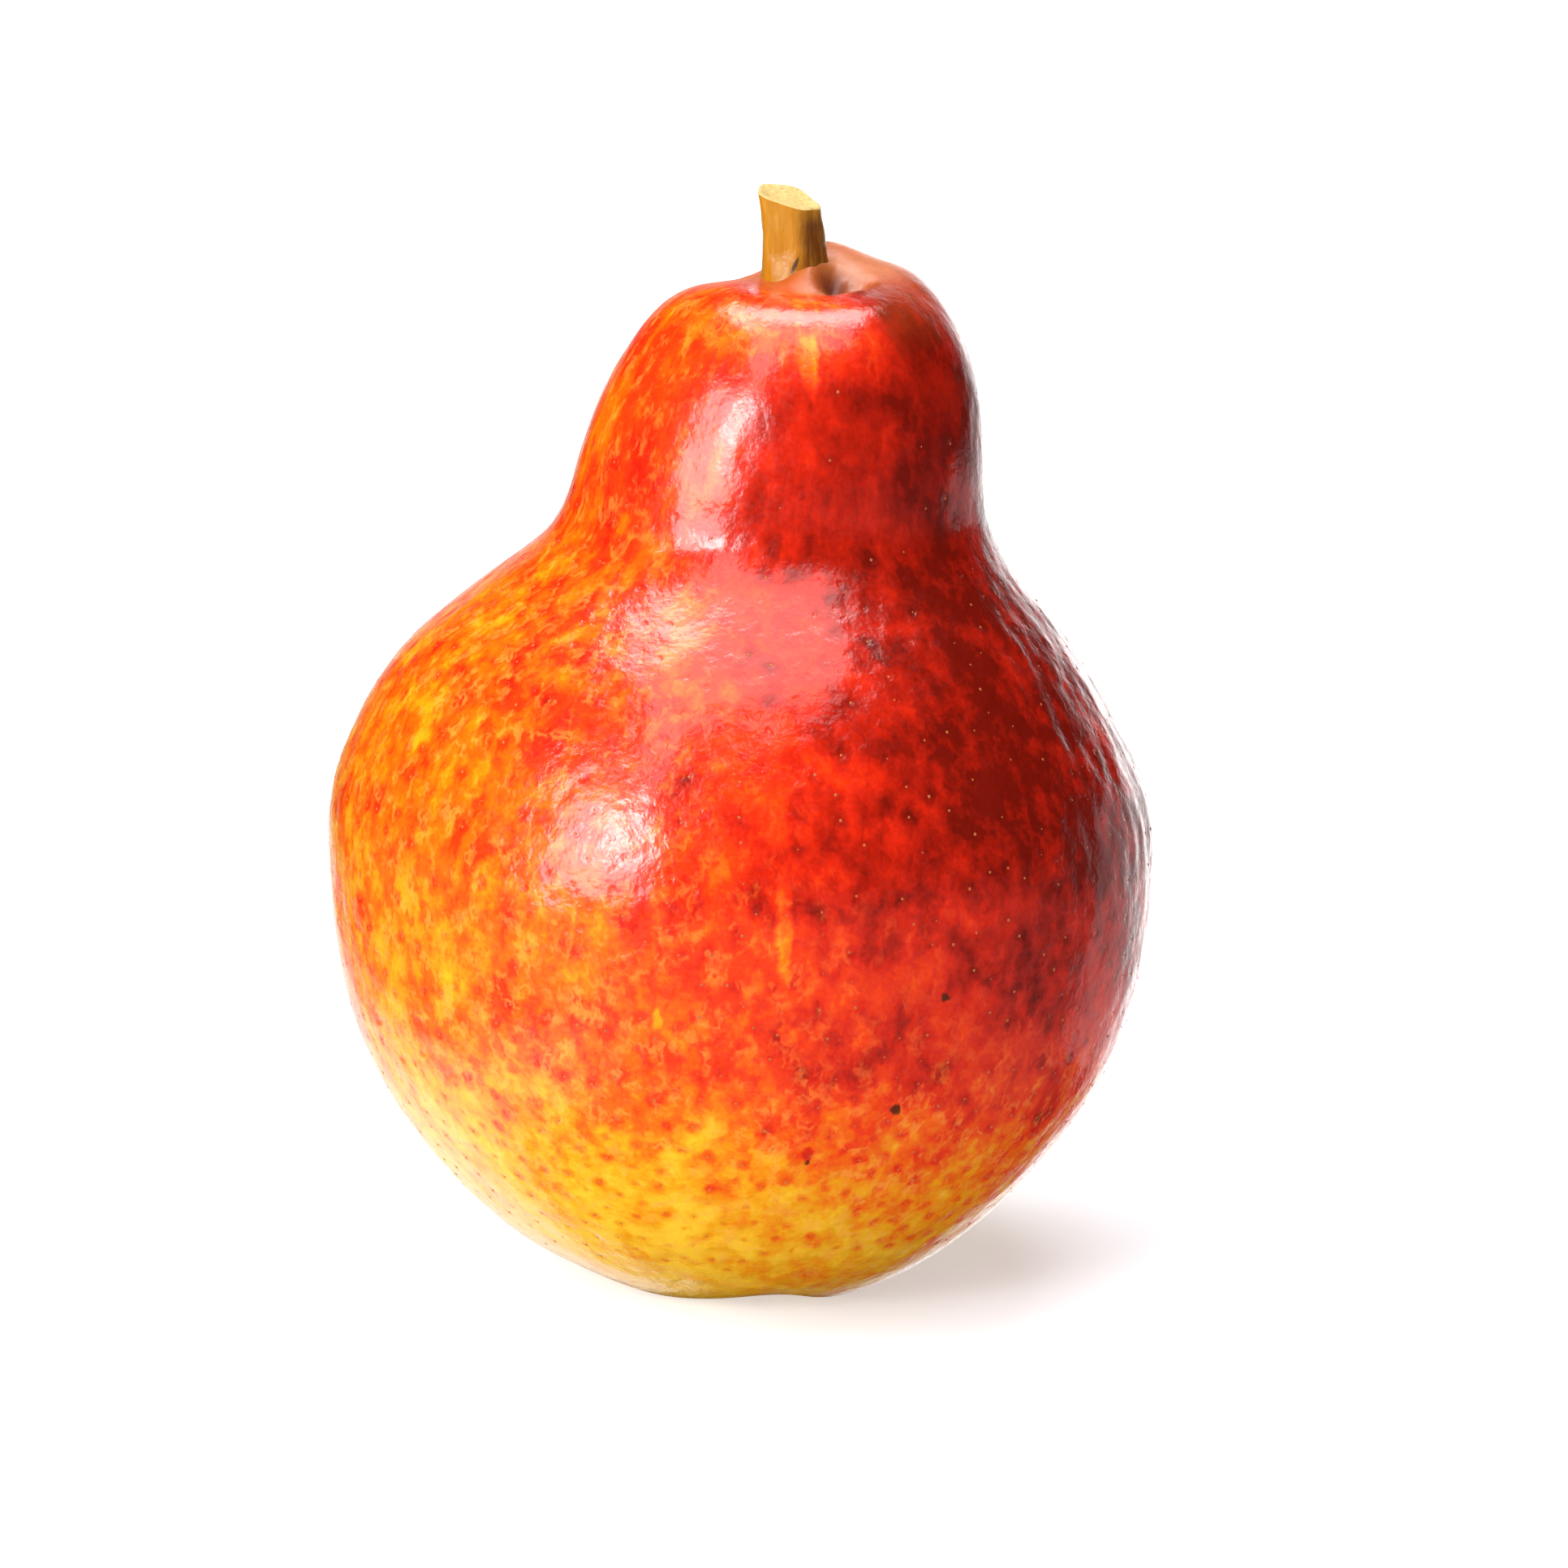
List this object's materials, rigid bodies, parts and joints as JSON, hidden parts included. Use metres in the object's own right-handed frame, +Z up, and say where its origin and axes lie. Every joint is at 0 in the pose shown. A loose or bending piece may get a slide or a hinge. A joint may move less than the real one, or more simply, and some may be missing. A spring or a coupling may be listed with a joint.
{
  "type": "pear",
  "caption": "Whole ripe pear with a red blush over yellow skin, a short neck, a cut woody stem and a dried calyx in the basin it stands on.",
  "frame": {"origin": "on the surface that the pear stands on, under the middle of its bounding box", "axes": "+Z up, from the blossom end to the stem; +X towards the side that the neck leans to; +Y towards the higher shoulder behind the stem"},
  "size_m": [0.0704, 0.0702, 0.0933],
  "materials": {
    "skin": "satin",
    "stem": "satin",
    "calyx": "matte"
  },
  "bodies": {
    "root": {"flesh": "skin", "stem": "stem", "calyx": "calyx"}
  },
  "joints": []
}
